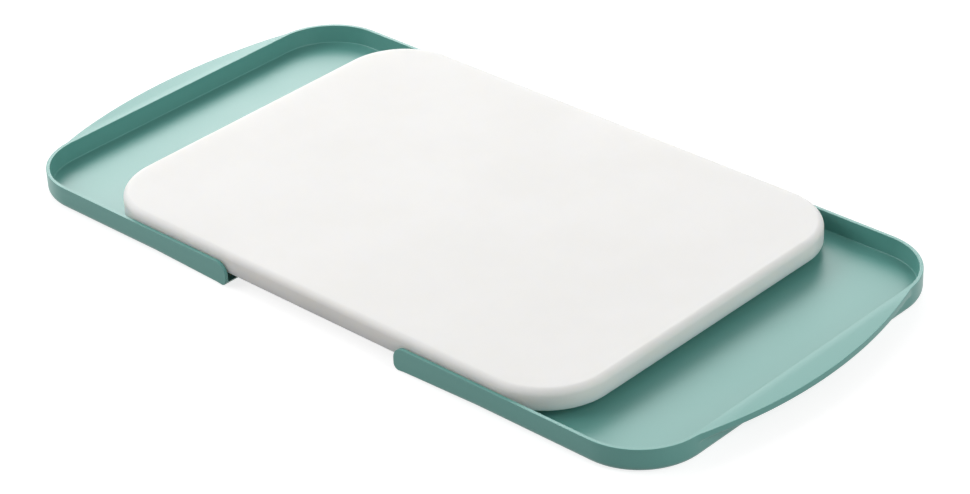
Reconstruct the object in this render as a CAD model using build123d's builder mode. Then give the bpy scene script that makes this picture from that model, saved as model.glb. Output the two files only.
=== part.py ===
"""Cutting board that rides on two pull-out trays.

The solid board carries two straight guide rails screwed to its underside.  Each
tray is one thin moulding: a floor, a wall round three sides, a crescent handle
lip on its outer end, and claws on its floor that hook over the rails.  A tray
slides along X until its claws meet the stops at the rail's end.

Millimetres.  +X runs along the board, +Y away from the user, +Z up.  The origin
is on the worktop under the middle of the board.  The trays are drawn pulled out.
"""

import os
from math import hypot

from build123d import *

# ---------------------------------------------------------------- board
board_length = 355.6
board_width = 254.0
board_thickness = 12.7
board_corner_radius = 41.0
board_top_round = 4.0
board_bottom_round = 0.8

# ---------------------------------------------------------------- trays
tray_length = 178.2
tray_height = 14.2
wall_thickness = 2.2
floor_thickness = 2.4
tray_corner_radius = 40.0
floor_inner_round = 1.0
rim_round = 0.6
base_round = 3.8
heel_round = 0.6
heel_length = 60.0
end_top_round = 7.5
end_bottom_round = 3.6

# the handle lip: a crescent flange that starts level with the rim and droops towards its edge
lip_reach = 13.8
lip_thickness = 4.3
lip_droop = 0.9
lip_under_round = 1.2

# ---------------------------------------------------------------- how the trays sit and slide
tray_travel = 61.7
closed_end_gap = 1.8
side_gap = 0.4
under_board_space = 5.3

# ---------------------------------------------------------------- guide rails under the board
rail_spacing = 160.0
rail_flange_width = 14.0
rail_flange_thickness = 1.7
rail_web_width = 6.0
rail_end_round = 2.0
stop_length = 6.5
slide_gap = 0.25

# ---------------------------------------------------------------- claws on the tray floors
claw_length = 18.0
claw_pitch = 64.0
claw_inset = 6.0
claw_wall = 1.8
claw_lip_thickness = 1.6
claw_side_gap = 0.4
claw_round = 0.5
stop_gap = 0.2

# ---------------------------------------------------------------- rail screws
screw_pitch = 48.0
screw_count = 3
screw_length = 12.0
screw_diameter = 3.0
screw_head_diameter = 5.6
screw_head_sink = 0.1
screw_gap = 0.05
countersink_angle = 90.0
cross_length = 3.0
cross_width = 0.7
cross_depth = 0.9
pilot_spare = 1.0

# ---------------------------------------------------------------- non-slip feet
foot_length = 22.0
foot_width = 8.0
foot_recess = 1.2
foot_proud = 0.8
foot_bevel = 0.4
foot_side_gap = 0.1
foot_side_inset = 34.6
foot_inner_inset = 24.0
foot_outer_inset = 34.0

# ---------------------------------------------------------------- levels and places that follow
tray_base = foot_proud
floor_top = tray_base + floor_thickness
rim_top = tray_base + tray_height
board_underside = floor_top + under_board_space

tray_inner_width = board_width + 2 * side_gap
tray_width = tray_inner_width + 2 * wall_thickness

end_wall_inside = board_length / 2 + closed_end_gap + tray_travel
end_wall_outside = end_wall_inside + wall_thickness
tray_open_end = end_wall_outside - tray_length
heel_start = tray_open_end + heel_length
lip_apex = end_wall_outside + lip_reach
lip_underside = rim_top - lip_thickness

flange_bottom = floor_top + slide_gap
flange_top = flange_bottom + rail_flange_thickness
claw_lip_bottom = flange_top + slide_gap
claw_top = claw_lip_bottom + claw_lip_thickness
claw_start = tray_open_end + claw_inset
stop_face = claw_start + claw_pitch + claw_length + stop_gap
rail_half_length = stop_face + stop_length
rail_rows = {"front": -rail_spacing / 2, "back": rail_spacing / 2}

screw_places = [(i - (screw_count - 1) / 2) * screw_pitch for i in range(screw_count)]
screw_foot = flange_bottom + screw_head_sink
screw_bite = screw_foot + screw_length - board_underside
pilot_depth = screw_bite + pilot_spare

foot_row = tray_width / 2 - foot_side_inset
foot_places = [
    (x, y)
    for x in (tray_open_end + foot_inner_inset, end_wall_outside - foot_outer_inset)
    for y in (-foot_row, foot_row)
]


def make_board():
    """Solid slab with rounded corners and edges, and pilot holes for the rail screws."""
    with BuildPart() as board:
        with BuildSketch(Plane.XY.offset(board_underside)):
            RectangleRounded(board_length, board_width, board_corner_radius)
        extrude(amount=board_thickness)
        fillet(board.faces().sort_by(Axis.Z)[-1].edges(), board_top_round)
        fillet(board.faces().sort_by(Axis.Z)[0].edges(), board_bottom_round)
        with Locations(Plane(origin=(0, 0, board_underside), z_dir=(0, 0, -1))):
            with GridLocations(screw_pitch, rail_spacing, screw_count, len(rail_rows)):
                Hole(screw_diameter / 2 + screw_gap, depth=pilot_depth)
    return board.part


def make_rail(row):
    """T-section rail along X whose flange the claws hold, with a stop at each end."""
    with BuildPart() as rail:
        with BuildSketch(Plane.YZ) as section:
            with Locations((row, (flange_bottom + flange_top) / 2)):
                Rectangle(rail_flange_width, rail_flange_thickness)
            with Locations((row, (flange_bottom + board_underside) / 2)):
                Rectangle(rail_web_width, board_underside - flange_bottom)
        extrude(amount=rail_half_length, both=True)
        with BuildSketch(Plane.XY.offset(flange_bottom)):
            for side in (-1, 1):
                with Locations((side * (stop_face + stop_length / 2), row)):
                    Rectangle(stop_length, rail_flange_width)
        extrude(amount=board_underside - flange_bottom)
        ends = rail.faces().filter_by(Axis.X).sort_by(Axis.X)
        fillet(ends[0].edges().filter_by(Axis.Z) + ends[-1].edges().filter_by(Axis.Z), rail_end_round)
        with Locations(Plane(origin=(0, row, flange_bottom), z_dir=(0, 0, -1))):
            with GridLocations(screw_pitch, rail_spacing, screw_count, 1):
                CounterSinkHole(
                    radius=screw_diameter / 2 + screw_gap,
                    counter_sink_radius=screw_head_diameter / 2 + screw_gap + screw_head_sink,
                    depth=board_underside - flange_bottom,
                    counter_sink_angle=countersink_angle,
                )
    return rail.part


def make_screws(row):
    """Countersunk screws driven up through a rail into the board."""
    head_height = (screw_head_diameter - screw_diameter) / 2
    with BuildPart() as screws:
        for x in screw_places:
            with BuildSketch(Plane.XZ.offset(-row)):
                with BuildLine():
                    Polyline(
                        (x, screw_foot),
                        (x + screw_head_diameter / 2, screw_foot),
                        (x + screw_diameter / 2, screw_foot + head_height),
                        (x + screw_diameter / 2, screw_foot + screw_length - screw_diameter / 2),
                        (x, screw_foot + screw_length),
                        close=True,
                    )
                make_face()
            revolve(axis=Axis((x, row, 0), (0, 0, 1)))
        with BuildSketch(Plane.XY.offset(screw_foot)):
            with Locations(*[(x, row) for x in screw_places]):
                Rectangle(cross_length, cross_width)
                Rectangle(cross_width, cross_length)
        extrude(amount=cross_depth, mode=Mode.SUBTRACT)
    return screws.part


def make_tray_cavity():
    """The space inside a tray: open at its inner end and at the top."""
    with BuildPart() as cavity:
        with BuildSketch(Plane.XY.offset(floor_top)) as plan:
            with Locations((end_wall_inside - tray_length / 2, 0)):
                Rectangle(tray_length, tray_inner_width)
            fillet(plan.vertices().group_by(Axis.X)[-1], tray_corner_radius - wall_thickness)
        extrude(amount=tray_height)
        floor_edges = cavity.faces().sort_by(Axis.Z)[0].edges().sort_by(Axis.X)[1:]
        fillet(floor_edges, floor_inner_round)
    return cavity.part


def make_handle_lip():
    """Crescent flange whose outer edge is one arc tangent to both corner arcs in plan."""
    corner_x = end_wall_outside - tray_corner_radius
    corner_y = tray_width / 2 - tray_corner_radius
    back_set = corner_x - lip_apex
    lip_radius = (tray_corner_radius**2 - back_set**2 - corner_y**2) / (2 * (back_set + tray_corner_radius))
    centre_x = lip_apex - lip_radius
    spread = hypot(corner_x - centre_x, corner_y)
    meet_x = centre_x + (corner_x - centre_x) * lip_radius / spread
    meet_y = corner_y * lip_radius / spread
    root_x = meet_x - wall_thickness / 2
    with BuildPart() as lip:
        with BuildSketch(Plane.XY.offset(tray_base)):
            with BuildLine():
                ThreePointArc((meet_x, -meet_y), (lip_apex, 0), (meet_x, meet_y))
                Polyline((meet_x, meet_y), (root_x, meet_y), (root_x, -meet_y), (meet_x, -meet_y))
            make_face()
        extrude(amount=tray_height)
        # seen from the side, its top leaves the rim's level at the wall's outer face and bends down
        with BuildSketch(Plane.XZ):
            with BuildLine():
                Line((root_x, lip_underside), (root_x, rim_top))
                flat_top = Line((root_x, rim_top), (end_wall_outside, rim_top))
                bent_top = TangentArc(flat_top @ 1, (lip_apex, rim_top - lip_droop), tangent=flat_top % 1)
                Line(bent_top @ 1, (lip_apex, lip_underside - lip_droop))
                flat_under = Line((root_x, lip_underside), (end_wall_outside, lip_underside))
                TangentArc(flat_under @ 1, (lip_apex, lip_underside - lip_droop), tangent=flat_under % 1)
            make_face()
        extrude(amount=meet_y, both=True, mode=Mode.INTERSECT)
        under_edge = lip.edges().filter_by(Plane.XZ, reverse=True).sort_by(Axis.Z)[0]
        fillet(under_edge, lip_under_round)
    return lip.part


def make_claws():
    """Four pairs of hooks that stand on a tray floor and reach over the rail flanges."""
    wall_place = rail_flange_width / 2 + claw_side_gap + claw_wall / 2
    claw_outer = wall_place + claw_wall / 2
    claw_lip_tip = rail_web_width / 2 + claw_side_gap
    claw_lip_width = claw_outer - claw_lip_tip
    with BuildPart() as claws:
        for row in rail_rows.values():
            for start in (claw_start, claw_start + claw_pitch):
                with BuildSketch(Plane.YZ.offset(start)):
                    for side in (-1, 1):
                        with Locations((row + side * wall_place, (floor_top + claw_top) / 2)):
                            Rectangle(claw_wall, claw_top - floor_top)
                        lip_place = row + side * (claw_outer - claw_lip_width / 2)
                        with Locations((lip_place, (claw_lip_bottom + claw_top) / 2)):
                            Rectangle(claw_lip_width, claw_lip_thickness)
                extrude(amount=claw_length)
        top_edges = claws.edges().filter_by(Axis.X).group_by(Axis.Z)[-1]
        fillet(top_edges, claw_round)
    return claws.part


def make_tray():
    """The right-hand tray, pulled out, as one moulding."""
    lip_form = make_handle_lip()
    cavity_form = make_tray_cavity()
    claw_form = make_claws()
    with BuildPart() as tray:
        # the outer end, with its two round corners and rounded base
        with BuildSketch(Plane.XY.offset(tray_base)) as plan:
            with Locations(((heel_start + end_wall_outside) / 2, 0)):
                Rectangle(end_wall_outside - heel_start, tray_width)
            fillet(plan.vertices().group_by(Axis.X)[-1], tray_corner_radius)
        extrude(amount=tray_height)
        base_edges = tray.faces().sort_by(Axis.Z)[0].edges().sort_by(Axis.X)[1:]
        fillet(base_edges, base_round)
        # the heels: the base round fades to a square foot at the tray's inner end
        for place, round_size in ((heel_start, base_round), (tray_open_end, heel_round)):
            with BuildSketch(Plane.YZ.offset(place)) as section:
                with Locations((0, (tray_base + rim_top) / 2)):
                    Rectangle(tray_width, tray_height)
                fillet(section.vertices().group_by(Axis.Y)[0], round_size)
        loft(ruled=True)
        add(lip_form)
        add(cavity_form, mode=Mode.SUBTRACT)
        # both long edges of the rim: not the short ones across the walls' inner ends, nor the lip's bend
        rim_edges = tray.faces().sort_by(Axis.Z)[-1].edges().sort_by(Axis.X)[2:-1]
        fillet(rim_edges, rim_round)
        # seen from the side, both corners of each wall's inner end are round
        with BuildSketch(Plane.XZ) as side_view:
            with Locations(((tray_open_end + lip_apex) / 2, (tray_base + rim_top) / 2)):
                Rectangle(lip_apex - tray_open_end, tray_height)
            fillet(side_view.vertices().group_by(Axis.X)[0].sort_by(Axis.Y)[-1], end_top_round)
            fillet(side_view.vertices().group_by(Axis.X)[0].sort_by(Axis.Y)[0], end_bottom_round)
        extrude(amount=tray_width, both=True, mode=Mode.INTERSECT)
        add(claw_form)
        # recesses for the feet
        with BuildSketch(Plane.XY.offset(tray_base)):
            with Locations(*foot_places):
                SlotOverall(foot_length + 2 * foot_side_gap, foot_width + 2 * foot_side_gap)
        extrude(amount=foot_recess, mode=Mode.SUBTRACT)
    return tray.part


def make_foot(place):
    """Soft pad seated in its recess under a tray."""
    with BuildPart() as foot:
        with BuildSketch():
            with Locations(place):
                SlotOverall(foot_length, foot_width)
        extrude(amount=foot_proud + foot_recess)
        chamfer(foot.faces().sort_by(Axis.Z)[0].edges(), foot_bevel)
    return foot.part


def other_side(form):
    """The same piece for the left-hand tray, mirrored across the middle of the board."""
    with BuildPart() as mirrored:
        mirror(form, about=Plane.YZ)
    return mirrored.part


right_tray = make_tray()
pieces = {"board": make_board(), "right_tray": right_tray, "left_tray": other_side(right_tray)}
for name, row in rail_rows.items():
    pieces[f"{name}_guide_rail"] = make_rail(row)
    pieces[f"{name}_rail_screws"] = make_screws(row)
for number, place in enumerate(foot_places, start=1):
    foot = make_foot(place)
    pieces[f"right_tray_foot_{number}"] = foot
    pieces[f"left_tray_foot_{number}"] = other_side(foot)

os.makedirs("parts", exist_ok=True)
for name, piece in pieces.items():
    piece.label = name
    export_step(piece, f"parts/{name}.step")
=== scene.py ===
"""Cutting board on two pull-out drawer trays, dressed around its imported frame.

The board, both tray mouldings and their claws are modelled here.  The guide
rails, screws and feet keep the frame's own shapes and get their finishes.
Metres, in the frame's axes: +X along the board, +Y away from the user, +Z up.
"""

from math import cos, radians, sin, sqrt, tan

import bmesh
import bpy
from bpy.props import FloatProperty, FloatVectorProperty, PointerProperty
from mathutils import Matrix, Vector


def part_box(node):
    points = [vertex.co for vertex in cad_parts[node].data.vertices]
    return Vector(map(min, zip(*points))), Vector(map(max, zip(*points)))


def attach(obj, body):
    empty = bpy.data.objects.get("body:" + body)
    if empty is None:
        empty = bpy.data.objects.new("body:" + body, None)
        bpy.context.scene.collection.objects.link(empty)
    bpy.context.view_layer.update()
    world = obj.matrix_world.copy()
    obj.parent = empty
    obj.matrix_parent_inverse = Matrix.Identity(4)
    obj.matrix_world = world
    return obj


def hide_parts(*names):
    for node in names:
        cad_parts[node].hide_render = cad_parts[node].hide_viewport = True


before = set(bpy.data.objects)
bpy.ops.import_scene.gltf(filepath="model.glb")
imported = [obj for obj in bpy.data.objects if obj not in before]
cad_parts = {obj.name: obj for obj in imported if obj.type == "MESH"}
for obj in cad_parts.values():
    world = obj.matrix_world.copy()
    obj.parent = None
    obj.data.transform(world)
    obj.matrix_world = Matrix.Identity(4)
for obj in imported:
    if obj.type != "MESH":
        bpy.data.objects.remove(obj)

bl_info = {
    "name": "Cutting Board with Drawer Trays",
    "version": (1, 0, 0),
    "blender": (4, 5, 0),
    "location": "3D View > Sidebar > Board",
    "description": "Builds a cutting board whose trays slide out from under both ends",
    "category": "Object",
}

BOARD_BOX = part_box("board")
TRAY_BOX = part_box("right_tray")
RAIL_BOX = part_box("back_guide_rail")
FEET = [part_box(f"right_tray_foot_{number}") for number in (1, 2, 3, 4)]
SCREWS_PER_RAIL = 3


def length(name, default, description):
    """A named length, in metres."""
    return FloatProperty(
        name=name, description=description, default=default, min=0.0, unit="LENGTH", precision=5
    )


def angle(name, degrees, description):
    """A named angle, given in degrees and kept in radians."""
    return FloatProperty(name=name, description=description, default=radians(degrees), unit="ROTATION")


def power(name, default, description):
    """A named lamp power, in watts."""
    return FloatProperty(name=name, description=description, default=default, min=0.0, unit="POWER")


def colour(name, default, description):
    """A named colour, scene linear."""
    return FloatVectorProperty(
        name=name, description=description, default=default, size=3, min=0.0, max=1.0, subtype="COLOR"
    )


def share(name, default, description):
    """A named number from 0 to 1."""
    return FloatProperty(
        name=name, description=description, default=default, min=0.0, max=1.0, subtype="FACTOR"
    )


# ------------------------------------------------------------------ settings


class BoardSettings(bpy.types.PropertyGroup):
    """Shape and finish of the cutting board."""

    corner_radius: length("Corner radius", 0.041, "Radius of the board's corners in plan")
    top_round: length("Top edge round", 0.004, "Radius of the edge round the cutting surface")
    bottom_round: length("Bottom edge round", 0.0008, "Radius of the edge round the underside")
    pilot_radius: length("Pilot hole radius", 0.00155, "Radius of the holes that the rail screws bite in")
    pilot_depth: length("Pilot hole depth", 0.00805, "Depth of the holes that the rail screws bite in")
    poly: colour("Poly colour", (0.79, 0.782, 0.768), "Colour of the board's poly")
    roughness: share("Roughness", 0.6, "Mean roughness of the board's surface")
    scatter: length("Scatter depth", 0.012, "How far light spreads inside the poly")


class TraySettings(bpy.types.PropertyGroup):
    """Shape and finish of the two tray mouldings."""

    wall: length("Wall thickness", 0.0022, "Thickness of the walls")
    floor: length("Floor thickness", 0.0024, "Thickness of the floor")
    corner_radius: length("Corner radius", 0.040, "Radius of the two outer corners in plan")
    floor_round: length("Floor fillet", 0.0006, "Fillet between the floor and the walls")
    rim_round: length("Rim round", 0.00025, "Radius of the rim's edges")
    base_round: length("Base round", 0.0038, "Round along the foot of the walls")
    heel_round: length("Heel round", 0.0006, "Round along the foot of the walls at the tray's inner end")
    heel_length: length("Heel length", 0.060, "Length over which the base round fades to the heel round")
    end_top_round: length("Wall end, top round", 0.0075, "Radius of each wall end's upper corner")
    end_bottom_round: length("Wall end, bottom round", 0.0036, "Radius of each wall end's lower corner")
    lip_reach: length("Lip reach", 0.0138, "How far the handle lip stands out at its middle")
    lip_edge_radius: length("Lip edge radius", 0.308, "Radius of the lip's outer edge in plan")
    lip_join: length("Lip join", 0.0005, "How far out the fillet reaches where the lip starts from the wall")
    lip_thickness: length("Lip thickness", 0.0043, "Thickness of the handle lip")
    lip_under_round: length("Lip under round", 0.0012, "Radius of the lip's lower edge")
    lip_root_round: length("Lip root fillet", 0.0010, "Fillet between the lip and the wall below it")
    lip_droop: length("Lip droop", 0.0009, "How far the lip's top has fallen below the rim at its tip")
    lip_crown: angle("Lip crown", 4, "Slope with which the lip's top rises from its inner edge")
    lip_crown_width: length("Lip crown width", 0.0055, "Width over which that rise bends over into the droop")
    foot_gap: length("Foot gap", 0.0001, "Clearance round each foot in its recess")
    foot_recess: length("Foot recess", 0.0012, "Depth of the recess that holds a foot")
    seafoam: colour("Tray colour", (0.121, 0.343, 0.306), "Colour of the moulded trays")
    roughness: share("Roughness", 0.35, "Mean roughness of the trays' satin surface")


class FittingSettings(bpy.types.PropertyGroup):
    """Sizes of the claws, and finishes of the rails, screws and feet."""

    claw_length: length("Claw length", 0.018, "Length of a claw along the rail")
    claw_pitch: length("Claw pitch", 0.064, "Distance between the two claws of a side")
    claw_inset: length("Claw inset", 0.006, "From the tray's inner end to its first claw")
    claw_wall: length("Claw wall", 0.0018, "Thickness of a claw's upright")
    claw_hook: length("Claw hook", 0.0016, "Thickness of a claw's hook over the rail")
    claw_side_gap: length("Claw side gap", 0.0004, "Clearance between a claw and the rail beside it")
    claw_over_gap: length("Claw over gap", 0.00025, "Clearance between a claw's hook and the rail under it")
    claw_round: length("Claw round", 0.0005, "Radius of a claw's edges")
    rail_flange: length("Rail flange width", 0.014, "Width of the rail's flange")
    rail_flange_thickness: length("Rail flange thickness", 0.0017, "Thickness of the rail's flange")
    rail_web: length("Rail web width", 0.006, "Width of the rail's web")
    rail_white: colour("Rail colour", (0.74, 0.75, 0.735), "Colour of the guide rails")
    rubber: colour("Foot colour", (0.42, 0.44, 0.43), "Colour of the rubber feet")
    steel: colour("Screw colour", (0.60, 0.59, 0.57), "Colour of the screws")


class StageSettings(bpy.types.PropertyGroup):
    """Floor, studio light and camera."""

    floor_half: length("Floor half width", 3.0, "From the middle of the studio floor to its edge")
    floor_colour: colour("Floor colour", (0.36, 0.36, 0.36), "Colour of the studio floor")
    floor_glow: share("Floor glow", 0.8, "Light the floor adds in the camera's eye, to read as white")
    surround: share("Surround", 0.22, "Strength of the even light from all round")
    lamp_distance: length("Lamp distance", 3.0, "Distance of every soft box from the board")
    key_power: power("Key power", 42, "Power of the large box behind")
    key_azimuth: angle("Key azimuth", 128, "Direction of the large box behind, round Z from +X")
    key_height: angle("Key elevation", 30, "Angle of the large box behind above the floor")
    key_width: length("Key width", 1.8, "Width of the large box behind")
    key_rise: length("Key rise", 2.4, "Height of the large box behind, along its sheet")
    sheen_power: power("Sheen power", 16, "Power of the small box behind the left tray")
    sheen_azimuth: angle("Sheen azimuth", 150, "Direction of the small box behind, round Z from +X")
    sheen_height: angle("Sheen elevation", 34, "Angle of the small box behind above the floor")
    sheen_width: length("Sheen width", 1.1, "Width of the small box behind")
    sheen_rise: length("Sheen rise", 1.1, "Height of the small box behind, along its sheet")
    side_power: power("Side power", 49, "Power of the wide box at the left")
    side_azimuth: angle("Side azimuth", 216, "Direction of the wide box at the left, round Z from +X")
    side_height: angle("Side elevation", 34, "Angle of the wide box at the left above the floor")
    side_width: length("Side width", 2.4, "Width of the wide box at the left")
    side_rise: length("Side rise", 1.6, "Height of the wide box at the left, along its sheet")
    fill_power: power("Fill power", 37, "Power of the tall box at the right")
    fill_azimuth: angle("Fill azimuth", 2, "Direction of the tall box at the right, round Z from +X")
    fill_height: angle("Fill elevation", 33, "Angle of the tall box at the right above the floor")
    fill_width: length("Fill width", 1.1, "Width of the tall box at the right")
    fill_rise: length("Fill rise", 2.4, "Height of the tall box at the right, along its sheet")
    camera_azimuth: angle("Camera azimuth", 43.904, "Direction of the view round Z")
    camera_height: angle("Camera elevation", 30.839, "Height of the view above the floor")
    camera_roll: angle("Camera roll", -2.483, "Turn of the camera about its line of sight")
    camera_distance: length("Camera distance", 1.73193, "Distance of the camera from its target")
    camera_target: FloatVectorProperty(
        name="Camera target", description="The point at the middle of the picture",
        default=(0.01999, -0.008145, 0.0026), size=3, subtype="TRANSLATION",
    )
    camera_lens: FloatProperty(
        name="Camera lens", description="Focal length in mm on a 36 mm wide sensor",
        default=113.3, unit="CAMERA",
    )


# ------------------------------------------------------------------ plain geometry helpers


def arc(centre, radius, start, stop, steps):
    """Points along an arc, angles in degrees, both ends kept."""
    angles = [radians(start + (stop - start) * i / steps) for i in range(steps + 1)]
    return [(centre[0] + radius * cos(a), centre[1] + radius * sin(a)) for a in angles]


def spaced(start, stop, steps):
    """Evenly spaced numbers, both ends kept."""
    return [start + (stop - start) * i / steps for i in range(steps + 1)]


def eased(t):
    """A smooth step from 0 to 1."""
    t = min(max(t, 0.0), 1.0)
    return t * t * (3 - 2 * t)


def mix(a, b, t):
    """Between two points."""
    return tuple(p + (q - p) * t for p, q in zip(a, b))


def skin(bm, row, other):
    """A strip of quads between two rows of vertices."""
    for i in range(len(row) - 1):
        bm.faces.new((row[i], row[i + 1], other[i + 1], other[i]))


def add_loop(bm, points, height):
    """A closed loop of edges at one height."""
    verts = [bm.verts.new((x, y, height)) for x, y in points]
    edges = [bm.edges.new((verts[i - 1], verts[i])) for i in range(len(verts))]
    return verts, edges


def sink_pocket(bm, points, height, top):
    """A closed pocket that rises from a loop at one height to a flat top. Returns its loop's edges."""
    low, edges = add_loop(bm, points, height)
    high = [bm.verts.new((v.co.x, v.co.y, top)) for v in low]
    skin(bm, low + low[:1], high + high[:1])
    bm.faces.new(high)
    return edges


def rounded_rectangle(half_x, half_y, radius, steps):
    """Plan points of a rounded rectangle, anticlockwise, with each one's outward direction."""
    points = []
    for quarter, (sx, sy) in enumerate(((1, -1), (1, 1), (-1, 1), (-1, -1))):
        for a in spaced(-90 + 90 * quarter, 90 * quarter, steps):
            out = (cos(radians(a)), sin(radians(a)))
            points.append(
                ((sx * (half_x - radius) + radius * out[0], sy * (half_y - radius) + radius * out[1]), out)
            )
    return points


def finish_mesh(name, bm, finish, body, sharp=38):
    """Turns a bmesh into a piece with clean shading, its finish and its body."""
    bmesh.ops.recalc_face_normals(bm, faces=bm.faces[:])
    mesh = bpy.data.meshes.new(name)
    bm.to_mesh(mesh)
    bm.free()
    mesh.shade_smooth()
    mesh.set_sharp_from_angle(angle=radians(sharp))
    mesh.materials.append(finish)
    piece = bpy.data.objects.new(name, mesh)
    bpy.context.scene.collection.objects.link(piece)
    weigh = piece.modifiers.new("Flat faces stay flat", "WEIGHTED_NORMAL")
    weigh.keep_sharp = True
    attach(piece, body)
    return piece


# ------------------------------------------------------------------ shader groups and finishes


def new_group(name, inputs, outputs):
    """A shader node group with named number inputs and outputs."""
    group = bpy.data.node_groups.new(name, "ShaderNodeTree")
    for label, default in inputs.items():
        socket = group.interface.new_socket(name=label, in_out="INPUT", socket_type="NodeSocketFloat")
        socket.default_value = default
    for label in outputs:
        group.interface.new_socket(name=label, in_out="OUTPUT", socket_type="NodeSocketFloat")
    return group, group.nodes.new("NodeGroupInput"), group.nodes.new("NodeGroupOutput")


def noise(tree, scale, detail=2.0, roughness=0.5, coordinates=None):
    """A noise texture laid in the piece's own metres."""
    node = tree.nodes.new("ShaderNodeTexNoise")
    node.inputs["Scale"].default_value = scale
    node.inputs["Detail"].default_value = detail
    node.inputs["Roughness"].default_value = roughness
    if coordinates is None:
        coordinates = tree.nodes.new("ShaderNodeTexCoord").outputs["Object"]
    tree.links.new(coordinates, node.inputs["Vector"])
    return node.outputs["Fac"]


def number(tree, operation, first, second, third=None):
    """One math step on sockets or plain numbers."""
    node = tree.nodes.new("ShaderNodeMath")
    node.operation = operation
    for place, value in enumerate((first, second, third)):
        if value is None:
            continue
        if isinstance(value, (int, float)):
            node.inputs[place].default_value = value
        else:
            tree.links.new(value, node.inputs[place])
    return node.outputs[0]


def stretch(tree, value, low, high):
    """Maps a range of a number onto 0 to 1, held at its ends."""
    node = tree.nodes.new("ShaderNodeMapRange")
    node.inputs["From Min"].default_value = low
    node.inputs["From Max"].default_value = high
    tree.links.new(value, node.inputs["Value"])
    return node.outputs["Result"]


def moulded_grain():
    """Fine spark-eroded grain of a mould, and the slow change in gloss across a moulding."""
    name = "Moulded grain"
    if name in bpy.data.node_groups:
        return bpy.data.node_groups[name]
    inputs = {"Grain scale": 1800.0, "Gloss scale": 14.0, "Gloss change": 0.05, "Roughness": 0.4}
    group, given, out = new_group(name, inputs, ("Height", "Roughness", "Cloud"))
    place = group.nodes.new("ShaderNodeTexCoord").outputs["Object"]
    fine = group.nodes.new("ShaderNodeTexNoise")
    fine.inputs["Detail"].default_value = 2.0
    cloud = group.nodes.new("ShaderNodeTexNoise")
    cloud.inputs["Detail"].default_value = 3.0
    for node, label in ((fine, "Grain scale"), (cloud, "Gloss scale")):
        group.links.new(place, node.inputs["Vector"])
        group.links.new(given.outputs[label], node.inputs["Scale"])
    group.links.new(fine.outputs["Fac"], out.inputs["Height"])
    group.links.new(cloud.outputs["Fac"], out.inputs["Cloud"])
    swing = number(group, "SUBTRACT", cloud.outputs["Fac"], 0.5)
    swing = number(group, "MULTIPLY", swing, given.outputs["Gloss change"])
    grit_change = 0.06
    grit = number(group, "SUBTRACT", fine.outputs["Fac"], 0.5)
    grit = number(group, "MULTIPLY", grit, grit_change)
    total = number(group, "ADD", number(group, "ADD", given.outputs["Roughness"], swing), grit)
    group.links.new(total, out.inputs["Roughness"])
    return group


def rub_marks():
    """Mask of faint short rubs, all one way, that handling leaves on plastic."""
    name = "Rub marks"
    if name in bpy.data.node_groups:
        return bpy.data.node_groups[name]
    group, given, out = new_group(name, {"Along": 40.0, "Across": 900.0, "Amount": 0.3}, ("Mask",))
    place = group.nodes.new("ShaderNodeTexCoord").outputs["Object"]
    joined = group.nodes.new("ShaderNodeCombineXYZ")
    group.links.new(given.outputs["Along"], joined.inputs[0])
    group.links.new(given.outputs["Across"], joined.inputs[1])
    group.links.new(given.outputs["Across"], joined.inputs[2])
    drawn = group.nodes.new("ShaderNodeVectorMath")
    drawn.operation = "MULTIPLY"
    group.links.new(place, drawn.inputs[0])
    group.links.new(joined.outputs[0], drawn.inputs[1])
    fine = noise(group, scale=1.0, detail=3.0, roughness=0.6, coordinates=drawn.outputs[0])
    patch = stretch(group, noise(group, scale=18.0), low=0.45, high=0.68)
    lines = stretch(group, fine, low=0.60, high=0.74)
    both = number(group, "MULTIPLY", lines, patch)
    group.links.new(number(group, "MULTIPLY", both, given.outputs["Amount"]), out.inputs["Mask"])
    return group


def use_group(tree, group, **values):
    """Places a node group with its own values."""
    node = tree.nodes.new("ShaderNodeGroup")
    node.node_tree = group
    for label, value in values.items():
        node.inputs[label.replace("_", " ")].default_value = value
    return node


def tinted(tree, mask, plain, other):
    """Colour that goes from plain to other with a mask."""
    node = tree.nodes.new("ShaderNodeMix")
    node.data_type = "RGBA"
    node.inputs["A"].default_value = (*plain, 1.0)
    node.inputs["B"].default_value = (*other, 1.0)
    tree.links.new(mask, node.inputs["Factor"])
    return node.outputs["Result"]


def new_finish(name):
    """A material with one Principled BSDF."""
    material = bpy.data.materials.new(name)
    material.use_nodes = True
    tree = material.node_tree
    return material, tree, tree.nodes["Principled BSDF"]


def bumped(tree, shader, height, distance, strength):
    """Feeds a height into the shader's normal through a Bump node."""
    node = tree.nodes.new("ShaderNodeBump")
    node.inputs["Distance"].default_value = distance
    node.inputs["Strength"].default_value = strength
    tree.links.new(height, node.inputs["Height"])
    tree.links.new(node.outputs["Normal"], shader.inputs["Normal"])


def shaded(base, factor):
    """A colour made lighter or darker."""
    return tuple(min(channel * factor, 1.0) for channel in base)


def clouded(tree, shader, grain, base, dark, light):
    """Colours the shader with slow clouds between a darker and a lighter shade of a colour."""
    tone = tinted(tree, grain.outputs["Cloud"], shaded(base, dark), shaded(base, light))
    tree.links.new(tone, shader.inputs["Base Color"])


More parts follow.
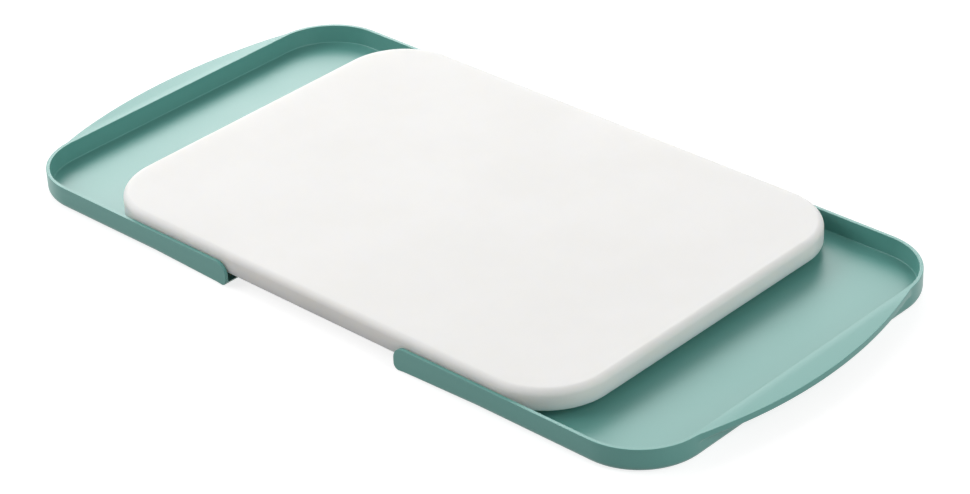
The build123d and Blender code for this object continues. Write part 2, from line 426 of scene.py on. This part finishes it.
def poly_finish(settings):
    """Dense white poly: a fine pebble, faint clouds of tone and a few light knife rubs."""
    material, tree, shader = new_finish("white cutting poly")
    grain = use_group(
        tree, moulded_grain(),
        Grain_scale=2300.0, Gloss_scale=22.0, Gloss_change=0.08, Roughness=settings.roughness,
    )
    rubs = use_group(tree, rub_marks(), Along=30.0, Across=1500.0, Amount=0.35)
    mottle = stretch(tree, noise(tree, scale=26.0, detail=4.0, roughness=0.55), low=0.38, high=0.64)
    cloud_tint = (0.985, 0.984, 0.978)
    clouds = tuple(channel * tint for channel, tint in zip(settings.poly, cloud_tint))
    tone = tinted(tree, mottle, settings.poly, clouds)
    tree.links.new(tone, shader.inputs["Base Color"])
    tree.links.new(grain.outputs["Roughness"], shader.inputs["Roughness"])
    rub_depth = -0.5
    height = number(tree, "MULTIPLY_ADD", rubs.outputs["Mask"], rub_depth, grain.outputs["Height"])
    bumped(tree, shader, height, distance=0.00003, strength=0.5)
    shader.inputs["IOR"].default_value = 1.5
    shader.inputs["Subsurface Weight"].default_value = 1.0
    shader.inputs["Subsurface Radius"].default_value = (1.0, 0.95, 0.85)
    shader.inputs["Subsurface Scale"].default_value = settings.scatter
    return material


def tray_finish(settings):
    """Moulded satin plastic in seafoam."""
    material, tree, shader = new_finish("seafoam satin moulding")
    grain = use_group(
        tree, moulded_grain(),
        Grain_scale=1700.0, Gloss_scale=16.0, Gloss_change=0.07, Roughness=settings.roughness,
    )
    rubs = use_group(tree, rub_marks(), Along=60.0, Across=1100.0, Amount=0.2)
    clouded(tree, shader, grain, settings.seafoam, dark=0.985, light=1.015)
    rub_dulling = 0.12
    gloss = number(tree, "MULTIPLY_ADD", rubs.outputs["Mask"], rub_dulling, grain.outputs["Roughness"])
    tree.links.new(gloss, shader.inputs["Roughness"])
    bumped(tree, shader, grain.outputs["Height"], distance=0.00003, strength=0.6)
    shader.inputs["IOR"].default_value = 1.49
    return material


def rail_finish(settings):
    """Extruded white plastic with its faint draw lines along the rail."""
    material, tree, shader = new_finish("white rail plastic")
    grain = use_group(
        tree, moulded_grain(), Grain_scale=1500.0, Gloss_scale=20.0, Gloss_change=0.05, Roughness=0.42
    )
    lines = use_group(tree, rub_marks(), Along=4.0, Across=1400.0, Amount=1.0)
    clouded(tree, shader, grain, settings.rail_white, dark=0.98, light=1.01)
    tree.links.new(grain.outputs["Roughness"], shader.inputs["Roughness"])
    bumped(tree, shader, lines.outputs["Mask"], distance=0.00003, strength=0.6)
    return material


def foot_finish(settings):
    """Soft grey rubber with a powdery tooth."""
    material, tree, shader = new_finish("grey foot rubber")
    grain = use_group(
        tree, moulded_grain(), Grain_scale=2600.0, Gloss_scale=60.0, Gloss_change=0.06, Roughness=0.78
    )
    clouded(tree, shader, grain, settings.rubber, dark=0.94, light=1.06)
    tree.links.new(grain.outputs["Roughness"], shader.inputs["Roughness"])
    bumped(tree, shader, grain.outputs["Height"], distance=0.00004, strength=0.6)
    return material


def screw_finish(settings):
    """Plain stainless with a fine satin grain."""
    material, tree, shader = new_finish("stainless screw")
    grain = use_group(
        tree, moulded_grain(), Grain_scale=5200.0, Gloss_scale=300.0, Gloss_change=0.12, Roughness=0.30
    )
    clouded(tree, shader, grain, settings.steel, dark=0.93, light=1.05)
    tree.links.new(grain.outputs["Roughness"], shader.inputs["Roughness"])
    shader.inputs["Metallic"].default_value = 1.0
    bumped(tree, shader, grain.outputs["Height"], distance=0.00001, strength=0.5)
    return material


# ------------------------------------------------------------------ the board


class OBJECT_OT_poly_board(bpy.types.Operator):
    """Model the cutting board as a rounded slab with pilot holes for the rail screws."""

    bl_idname = "object.poly_board_build"
    bl_label = "Build Cutting Board"
    bl_options = {"REGISTER", "UNDO"}

    corner_steps = 20
    top_steps = 8
    bottom_steps = 3
    hole_steps = 24

    def execute(self, context):
        settings = context.scene.board_settings
        low, high = BOARD_BOX
        top, bottom = settings.top_round, settings.bottom_round
        profile = arc((-bottom, low.z + bottom), bottom, -90, 0, self.bottom_steps)
        profile += arc((-top, high.z - top), top, 0, 90, self.top_steps)
        plan = rounded_rectangle(high.x, high.y, settings.corner_radius, self.corner_steps)
        bm = bmesh.new()
        columns = [
            [bm.verts.new((p[0] + out[0] * n, p[1] + out[1] * n, z)) for n, z in profile] for p, out in plan
        ]
        for column, following in zip(columns, columns[1:] + columns[:1]):
            skin(bm, column, following)
        bm.faces.new([column[-1] for column in columns])
        rim = [bm.edges.get((a[0], b[0])) for a, b in zip(columns, columns[1:] + columns[:1])]
        for x, y in self.screw_places():
            last = 360 - 360 / self.hole_steps
            circle = arc((x, y), settings.pilot_radius, 0, last, self.hole_steps - 1)
            rim += sink_pocket(bm, circle, low.z, low.z + settings.pilot_depth)
        bmesh.ops.triangle_fill(bm, use_beauty=True, edges=rim, normal=(0, 0, -1))
        piece = finish_mesh("poly_board", bm, poly_finish(settings), "board")
        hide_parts("board")
        return {"FINISHED"}

    @staticmethod
    def screw_places():
        """Middles of the screws, from the frame's own screw groups."""
        places = []
        for name in ("front_rail_screws", "back_rail_screws"):
            low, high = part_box(name)
            radius = (high.y - low.y) / 2
            row = spaced(low.x + radius, high.x - radius, SCREWS_PER_RAIL - 1)
            places += [(x, (low.y + high.y) / 2) for x in row]
        return places


# ------------------------------------------------------------------ the trays


class TrayShape:
    """Cross-sections and plan of a tray moulding, worked out from its settings.

    A section is drawn in two numbers: how far out from the wall's outer face, and
    either a height or a depth below the rim.
    """

    edge_steps = 5
    root_steps = 4
    crown_steps = 6
    droop_steps = 4
    wall_end_steps = 10
    straight_steps = 6
    # round the corner: coarser up to this angle, finer from there on, where the lip starts
    corner_near_angle = 70
    corner_far_steps, corner_near_steps = 26, 16
    # along the end wall, from the corner to this share of the way out and on to the middle
    end_near_share = 0.9
    end_far_steps, end_near_steps = 8, 18
    # share of the lip's full reach over which its crown and droop come in
    level_share = 0.6
    # largest share of the lip's top that its crown takes
    crown_share = 0.6
    # heights of the wall end's lowest places, as shares of the floor's thickness
    heel_shares = (1.0, 0.62, 0.3, 0.08, 0.0)

    def __init__(self, tray):
        self.tray = tray
        low, high = TRAY_BOX
        self.open_end, self.tip = low.x, high.x
        self.half = high.y
        self.base, self.top = low.z, high.z
        self.floor_top = self.base + tray.floor
        self.end = self.tip - tray.lip_reach
        self.lip_bottom = self.top - tray.lip_thickness
        self.corner = (self.end - tray.corner_radius, self.half - tray.corner_radius)
        self.lip_centre = self.tip - tray.lip_edge_radius

    def reach(self, point, out):
        """How far the lip stands out from the wall at a plan place, with a fillet where it starts."""
        if abs(point[1]) > self.corner[1] + self.tray.corner_radius / 2:
            return 0.0
        dx, dy = point[0] - self.lip_centre, point[1]
        along = dx * out[0] + dy * out[1]
        reach = sqrt(max(along**2 - dx**2 - dy**2 + self.tray.lip_edge_radius**2, 0.0)) - along
        join = self.tray.lip_join
        return reach if reach > join else max(reach + join, 0.0) ** 2 / (4 * join)

    def base_round(self, x):
        """The round at the foot of the wall, which fades towards the inner end."""
        t = min(max((x - self.open_end) / self.tray.heel_length, 0.0), 1.0)
        return self.tray.heel_round + (self.tray.base_round - self.tray.heel_round) * t

    def inner_part(self):
        """From the floor up the fillet to the foot of the wall's inner face."""
        size = self.tray.floor_round
        return arc((-self.tray.wall - size, self.floor_top + size), size, -90, 0, self.edge_steps)

    def level(self, out, reach):
        """Height of the lip's top over the plain rim: a low crown, then an even droop."""
        tray = self.tray
        across, width, rise = out + tray.wall, tray.lip_crown_width, tan(tray.lip_crown)
        fall = (tray.lip_droop + rise * width / 2) / (tray.wall + tray.lip_reach - width / 2)
        near = min(across, width)
        level = rise * near - (rise + fall) * near**2 / (2 * width) - fall * max(across - width, 0.0)
        return level * eased(reach / (self.level_share * tray.lip_reach))

    def rim_part(self, reach):
        """Over the rim, or over the lip where it stands out: (out, depth below the rim)."""
        tray, size = self.tray, self.tray.rim_round
        start, stop = -tray.wall + size, reach - size
        width = min(tray.lip_crown_width, self.crown_share * (stop - start))
        section = [(out, size - up) for out, up in arc((start, 0), size, 180, 90, self.edge_steps)]
        section += [(start + width * t, 0.0) for t in spaced(0, 1, self.crown_steps)[1:]]
        section += [(out, 0.0) for out in spaced(start + width, stop, self.droop_steps)[1:-1]]
        section += [(out, size - up) for out, up in arc((stop, 0), size, 90, 0, self.edge_steps)]
        return [(out, depth - self.level(out, reach)) for out, depth in section]

    def under_part(self, reach):
        """Down the lip's edge, in under it and onto the wall: (out, height)."""
        tray = self.tray
        under, root = min(tray.lip_under_round, reach / 2), min(tray.lip_root_round, reach / 2)
        edge_bottom = self.lip_bottom + self.level(reach, reach)
        true = arc((reach - under, edge_bottom + under), under, 0, -90, self.edge_steps)
        true += arc((root, self.lip_bottom - root), root, 90, 180, self.root_steps)
        steps = len(true) - 1
        drop = tray.lip_under_round + 2 * tray.lip_root_round
        plain = [
            (reach * (1 - eased(i / steps)), self.lip_bottom + tray.lip_under_round - drop * i / steps)
            for i in range(steps + 1)
        ]
        true_from = 3 * tray.rim_round + tray.lip_under_round
        blend = eased(reach / true_from)
        return [mix(p, q, blend) for p, q in zip(plain, true)]

    def base_part(self, x):
        """Round the foot of the wall to the underside: (out, height)."""
        size = self.base_round(x)
        return arc((-size, self.base + size), size, 0, -90, self.edge_steps)

    def stations(self):
        """Plan places along the front half, from near the inner end to the middle of the outer end."""
        corner_x, corner_y = self.corner
        start = self.open_end + self.tray.end_top_round
        heel_end = self.open_end + self.tray.heel_length
        straight = spaced(start, heel_end, self.straight_steps)
        straight += spaced(heel_end, corner_x, self.straight_steps)[1:-1]
        places = [((x, -self.half), (0, -1)) for x in straight]
        turns = spaced(0, self.corner_near_angle, self.corner_far_steps)
        turns += spaced(self.corner_near_angle, 90, self.corner_near_steps)[1:]
        for a in turns:
            out = (sin(radians(a)), -cos(radians(a)))
            radius = self.tray.corner_radius
            places.append(((corner_x + radius * out[0], -corner_y + radius * out[1]), out))
        near = -self.end_near_share * corner_y
        wall = spaced(-corner_y, near, self.end_far_steps)[1:]
        wall += spaced(near, 0, self.end_near_steps)[1:]
        return places + [((self.end, y), (1, 0)) for y in wall]

    def end_outline(self):
        """Wall end seen from the side, top to bottom: (x, z) and the way in, after the rim's last place.

        The first part runs down to the top of the floor's fillet, the second part on from there.
        """
        tray = self.tray
        upper, lower = tray.end_top_round, tray.end_bottom_round
        first, second = [], []
        for a in spaced(90, 180, self.wall_end_steps)[1:]:
            way = (cos(radians(a)), sin(radians(a)))
            centre = (self.open_end + upper, self.top - upper)
            first.append(((centre[0] + upper * way[0], centre[1] + upper * way[1]), (-way[0], -way[1])))
        first.append(((self.open_end, self.floor_top + tray.floor_round), (1, 0)))
        centre = (self.open_end + lower, self.base + lower)
        for rise in [lower] + [tray.floor * part for part in self.heel_shares]:
            up = (rise - lower) / lower
            way = (-sqrt(1 - up**2), up)
            second.append(((centre[0] + lower * way[0], centre[1] + lower * way[1]), (-way[0], -way[1])))
        return first, second

    def end_x(self, z):
        """X of the inner end's outline at a height near the floor."""
        lower = self.tray.end_bottom_round
        fall = max(self.base + lower - z, 0.0)
        return self.open_end + lower - sqrt(lower**2 - fall**2)


def slot_outline(box, gap, steps=12):
    """Plan points of a foot's round-ended outline, with a clearance, anticlockwise."""
    low, high = box
    y, radius = (low.y + high.y) / 2, (high.y - low.y) / 2
    right = arc((high.x - radius, y), radius + gap, -90, 90, steps)
    return right + arc((low.x + radius, y), radius + gap, 90, 270, steps)


def tray_half(bm, shape):
    """The front half of the right-hand tray's shell, up to the plane y = 0."""
    tray, half = shape.tray, shape.half
    inner, rim = shape.inner_part(), shape.rim_part(0.0)
    columns = []
    for point, out in shape.stations():
        reach = shape.reach(point, out)
        section = inner + [(n, shape.top - depth) for n, depth in shape.rim_part(reach)]
        section += shape.under_part(reach) + shape.base_part(point[0])
        column = [(point[0] + out[0] * n, point[1] + out[1] * n, z) for n, z in section]
        columns.append([bm.verts.new(place) for place in column])
    for column, following in zip(columns, columns[1:]):
        skin(bm, column, following)
    first_column = columns[0]
    rim_start, rim_stop = len(inner), len(inner) + len(rim)
    edge_count = shape.edge_steps + 1

    def end_row(place, way, section):
        return [bm.verts.new((place[0] + way[0] * d, -half - n, place[1] + way[1] * d)) for n, d in section]

    # the rim's section follows the wall end's outline down to the floor,
    # and its outer edge goes on down to the underside
    upper, lower = shape.end_outline()
    rows = [first_column[rim_start:rim_stop]] + [end_row(place, way, rim) for place, way in upper]
    for row, following in zip(rows, rows[1:]):
        skin(bm, row, following)
    tails = [rows[-1][-edge_count:]] + [end_row(place, way, rim[-edge_count:]) for place, way in lower]
    for row, following in zip(tails, tails[1:]):
        skin(bm, row, following)
    skin(bm, first_column[-edge_count:], tails[-1][::-1])

    # the floor's fillet runs on to the inner end
    stop = rows[-1][0]
    fillet_stop = [bm.verts.new((stop.co.x, -half - n, z)) for n, z in inner[:-1]] + [stop]
    fillet_end = [bm.verts.new((shape.end_x(z), -half - n, z)) for n, z in inner]
    skin(bm, first_column[:rim_start], fillet_stop)
    skin(bm, fillet_stop, fillet_end)

    # flat faces of the wall end: inner side, the little ledge under its inner round, end, outer side
    bm.faces.new([first_column[rim_start - 1]] + [row[0] for row in rows])
    bm.faces.new(rows[-1][:edge_count] + [fillet_end[-1]])
    bm.faces.new(rows[-1][shape.edge_steps : 1 - edge_count] + [tails[1][0], tails[2][0]] + fillet_end)
    outer = first_column[rim_stop - 1 : 1 - edge_count] + [row[-1] for row in tails[::-1]]
    bm.faces.new(outer + [row[-1] for row in rows[-2:0:-1]])

    # the floor's own end, its top and its underside, with the feet's recesses
    middle = [bm.verts.new((place[0], 0, place[1])) for place, way in lower[1:]]
    bm.faces.new([fillet_end[0], tails[2][0], tails[3][0], middle[1], middle[0]])
    for k in range(3, len(tails) - 1):
        bm.faces.new([tails[k][0], tails[k + 1][0], middle[k - 1], middle[k - 2]])
    bm.faces.new([middle[0], fillet_end[0], fillet_stop[0]] + [column[0] for column in columns])
    outline = [tails[-1][0]] + [column[-1] for column in columns] + [middle[-1]]
    pairs = zip(outline, outline[1:] + outline[:1])
    edges = [bm.edges.get(pair) or bm.edges.new(pair) for pair in pairs]
    recess_top = shape.base + tray.foot_recess
    for box in FEET:
        if box[0].y < 0:
            edges += sink_pocket(bm, slot_outline(box, tray.foot_gap), shape.base, recess_top)
    bmesh.ops.triangle_fill(bm, use_beauty=True, edges=edges, normal=(0, 0, -1))


def claw(bm, span, across, heights, size):
    """One claw along X, from the floor up beside the rail and in over its flange, with rounded edges.

    span holds its X range, across the Y of its outer face, its inner face and its hook's tip,
    and heights the Z of its foot, its hook's underside and its top.
    """
    outer, inner, tip = across
    low, hook_low, high = heights
    section = [(outer, low), (inner, low), (inner, hook_low), (tip, hook_low), (tip, high), (outer, high)]
    near, far = [[bm.verts.new((x, y, z)) for y, z in section] for x in span]
    faces = [bm.faces.new(near), bm.faces.new(far[::-1])]
    faces += [bm.faces.new((near[i - 1], near[i], far[i], far[i - 1])) for i in range(len(section))]
    edges = dict.fromkeys(edge for face in faces for edge in face.edges)
    rounded = [edge for edge in edges if max(v.co.z for v in edge.verts) > hook_low]
    bmesh.ops.bevel(
        bm, geom=rounded, offset=size, offset_type="OFFSET", segments=3, profile=0.5,
        affect="EDGES", clamp_overlap=True,
    )


def tray_claws(bm, shape, fit):
    """The claws of the front rail on the right-hand tray's floor."""
    row = -(RAIL_BOX[0].y + RAIL_BOX[1].y) / 2
    hook_low = RAIL_BOX[0].z + fit.rail_flange_thickness + fit.claw_over_gap
    heights = (shape.floor_top, hook_low, hook_low + fit.claw_hook)
    first = shape.open_end + fit.claw_inset
    for start in (first, first + fit.claw_pitch):
        for side in (-1, 1):
            inner = row + side * (fit.rail_flange / 2 + fit.claw_side_gap)
            outer = inner + side * fit.claw_wall
            tip = row + side * (fit.rail_web / 2 + fit.claw_side_gap)
            claw(bm, (start, start + fit.claw_length), (outer, inner, tip), heights, fit.claw_round)


def double_across(bm, seam=1e-7):
    """Completes a front half with its mirror image across y = 0, joined at the seam."""
    copy = bmesh.ops.duplicate(bm, geom=bm.verts[:] + bm.edges[:] + bm.faces[:])["geom"]
    for item in copy:
        if isinstance(item, bmesh.types.BMVert):
            item.co.y = -item.co.y
    bmesh.ops.remove_doubles(bm, verts=[v for v in bm.verts if abs(v.co.y) < seam], dist=seam)


class OBJECT_OT_drawer_trays(bpy.types.Operator):
    """Model both drawer trays as thin mouldings with crescent handle lips and rail claws."""

    bl_idname = "object.drawer_trays_build"
    bl_label = "Build Drawer Trays"
    bl_options = {"REGISTER", "UNDO"}

    def execute(self, context):
        settings, fit = context.scene.tray_settings, context.scene.fitting_settings
        shape = TrayShape(settings)
        finish = tray_finish(settings)
        for side, sign in (("right", 1), ("left", -1)):
            bm = bmesh.new()
            tray_half(bm, shape)
            tray_claws(bm, shape, fit)
            double_across(bm)
            bmesh.ops.scale(bm, vec=(sign, 1, 1), verts=bm.verts[:])
            piece = finish_mesh(f"{side}_tray_moulding", bm, finish, f"{side}_tray")
            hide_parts(f"{side}_tray")
        return {"FINISHED"}


# ------------------------------------------------------------------ rails, screws and feet


class OBJECT_OT_board_fittings(bpy.types.Operator):
    """Give the guide rails, their screws and the rubber feet their finishes."""

    bl_idname = "object.board_fittings_finish"
    bl_label = "Finish Rails, Screws and Feet"
    bl_options = {"REGISTER", "UNDO"}

    def execute(self, context):
        fit = context.scene.fitting_settings
        finishes = {
            "guide_rail": rail_finish(fit),
            "rail_screws": screw_finish(fit),
            "tray_foot": foot_finish(fit),
        }
        for word, finish in finishes.items():
            nodes = [node for name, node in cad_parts.items() if word in name]
            if not nodes:
                raise RuntimeError(f"The frame has no node named {word}")
            for node in nodes:
                if not node.material_slots:
                    node.data.materials.append(finish)
                for place in node.material_slots:
                    place.material = finish
        return {"FINISHED"}


# ------------------------------------------------------------------ stage


def light_path_share(tree):
    """1 for camera, glossy and transmission rays, 0 for all others."""
    path = tree.nodes.new("ShaderNodeLightPath")
    seen = number(tree, "MAXIMUM", path.outputs["Is Camera Ray"], path.outputs["Is Glossy Ray"])
    return number(tree, "MAXIMUM", seen, path.outputs["Is Transmission Ray"])


class SCENE_OT_board_stage(bpy.types.Operator):
    """Set up the pale floor, the soft studio light and the camera."""

    bl_idname = "scene.board_stage_build"
    bl_label = "Build Studio Stage"
    bl_options = {"REGISTER", "UNDO"}

    def execute(self, context):
        scene, settings = context.scene, context.scene.stage_settings
        scene.view_settings.view_transform = "Standard"
        self.lay_floor(scene, settings)
        self.light(scene, settings)
        self.place_camera(scene, settings)
        return {"FINISHED"}

    def lay_floor(self, scene, settings):
        """A wide pale floor that reads as white, with soft shadows near the board."""
        bm = bmesh.new()
        bmesh.ops.create_grid(bm, x_segments=4, y_segments=4, size=settings.floor_half)
        mesh = bpy.data.meshes.new("studio_floor")
        bm.to_mesh(mesh)
        bm.free()
        floor = bpy.data.objects.new("studio_floor", mesh)
        scene.collection.objects.link(floor)
        material, tree, shader = new_finish("studio floor")
        shader.inputs["Base Color"].default_value = (*settings.floor_colour, 1.0)
        shader.inputs["Roughness"].default_value = 0.85
        shader.inputs["Specular IOR Level"].default_value = 0.1
        shader.inputs["Emission Color"].default_value = (1.0, 1.0, 1.0, 1.0)
        glow = number(tree, "MULTIPLY", light_path_share(tree), settings.floor_glow)
        tree.links.new(glow, shader.inputs["Emission Strength"])
        mesh.materials.append(material)

    def light(self, scene, settings):
        """A dim even surround, seen as white, and four soft boxes turned to the board."""
        world = bpy.data.worlds.new("studio surround")
        world.use_nodes = True
        tree = world.node_tree
        back = tree.nodes["Background"]
        back.inputs["Color"].default_value = (1.0, 1.0, 1.0, 1.0)
        seen, dim = light_path_share(tree), settings.surround
        tree.links.new(number(tree, "MULTIPLY_ADD", seen, 1.0 - dim, dim), back.inputs["Strength"])
        scene.world = world
        distance = settings.lamp_distance
        for name in ("key", "sheen", "side", "fill"):
            words = ("azimuth", "height", "width", "rise", "power")
            azimuth, height, width, rise, energy = (getattr(settings, f"{name}_{word}") for word in words)
            lamp = bpy.data.lights.new(f"{name} soft box", "AREA")
            lamp.shape = "RECTANGLE"
            lamp.size, lamp.size_y, lamp.energy = width, rise, energy
            box = bpy.data.objects.new(f"{name} soft box", lamp)
            level = distance * cos(height)
            box.location = (level * cos(azimuth), level * sin(azimuth), distance * sin(height))
            box.rotation_euler = box.location.to_track_quat("Z", "Y").to_euler()
            scene.collection.objects.link(box)

    def place_camera(self, scene, settings):
        """A camera with a long lens, turned to its target from a distance."""
        az, el, roll = settings.camera_azimuth, settings.camera_height, settings.camera_roll
        back = Vector((sin(az) * cos(el), -cos(az) * cos(el), sin(el)))
        across = Vector((cos(az), sin(az), 0.0))
        above = back.cross(across)
        right = across * cos(roll) + above * sin(roll)
        up = above * cos(roll) - across * sin(roll)
        place = Vector(settings.camera_target) + back * settings.camera_distance
        lens = bpy.data.cameras.new("photo view")
        lens.sensor_width = 36.0
        lens.lens = settings.camera_lens
        lens.clip_start, lens.clip_end = 0.05, 20.0
        camera = bpy.data.objects.new("photo view", lens)
        camera.matrix_world = Matrix((right, up, back)).transposed().to_4x4()
        camera.location = place
        scene.collection.objects.link(camera)
        scene.camera = camera


# ------------------------------------------------------------------ panel, registration and run

GROUPS = {
    "board_settings": BoardSettings,
    "tray_settings": TraySettings,
    "fitting_settings": FittingSettings,
    "stage_settings": StageSettings,
}


class VIEW3D_PT_tray_board(bpy.types.Panel):
    """Lists the settings and the steps that build the board and its trays."""

    bl_idname = "VIEW3D_PT_tray_board"
    bl_label = "Cutting Board with Trays"
    bl_space_type = "VIEW_3D"
    bl_region_type = "UI"
    bl_category = "Board"

    def draw(self, context):
        steps = (
            ("board_settings", OBJECT_OT_poly_board),
            ("tray_settings", OBJECT_OT_drawer_trays),
            ("fitting_settings", OBJECT_OT_board_fittings),
            ("stage_settings", SCENE_OT_board_stage),
        )
        for settings, operator in steps:
            box = self.layout.box()
            box.operator(operator.bl_idname)
            for name in GROUPS[settings].__annotations__:
                box.prop(getattr(context.scene, settings), name)


CLASSES = (
    *GROUPS.values(),
    OBJECT_OT_poly_board,
    OBJECT_OT_drawer_trays,
    OBJECT_OT_board_fittings,
    SCENE_OT_board_stage,
    VIEW3D_PT_tray_board,
)


def register():
    """Registers the classes and hangs the settings on the scene."""
    for item in CLASSES:
        bpy.utils.register_class(item)
    for name, group in GROUPS.items():
        setattr(bpy.types.Scene, name, PointerProperty(type=group))


def unregister():
    """Takes the settings and the classes away again."""
    for name in GROUPS:
        delattr(bpy.types.Scene, name)
    for item in reversed(CLASSES):
        bpy.utils.unregister_class(item)


def main():
    """Registers the add-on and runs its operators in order."""
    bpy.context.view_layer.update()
    register()
    bpy.ops.object.poly_board_build()
    bpy.ops.object.drawer_trays_build()
    bpy.ops.object.board_fittings_finish()
    bpy.ops.scene.board_stage_build()


if __name__ == "__main__":
    main()
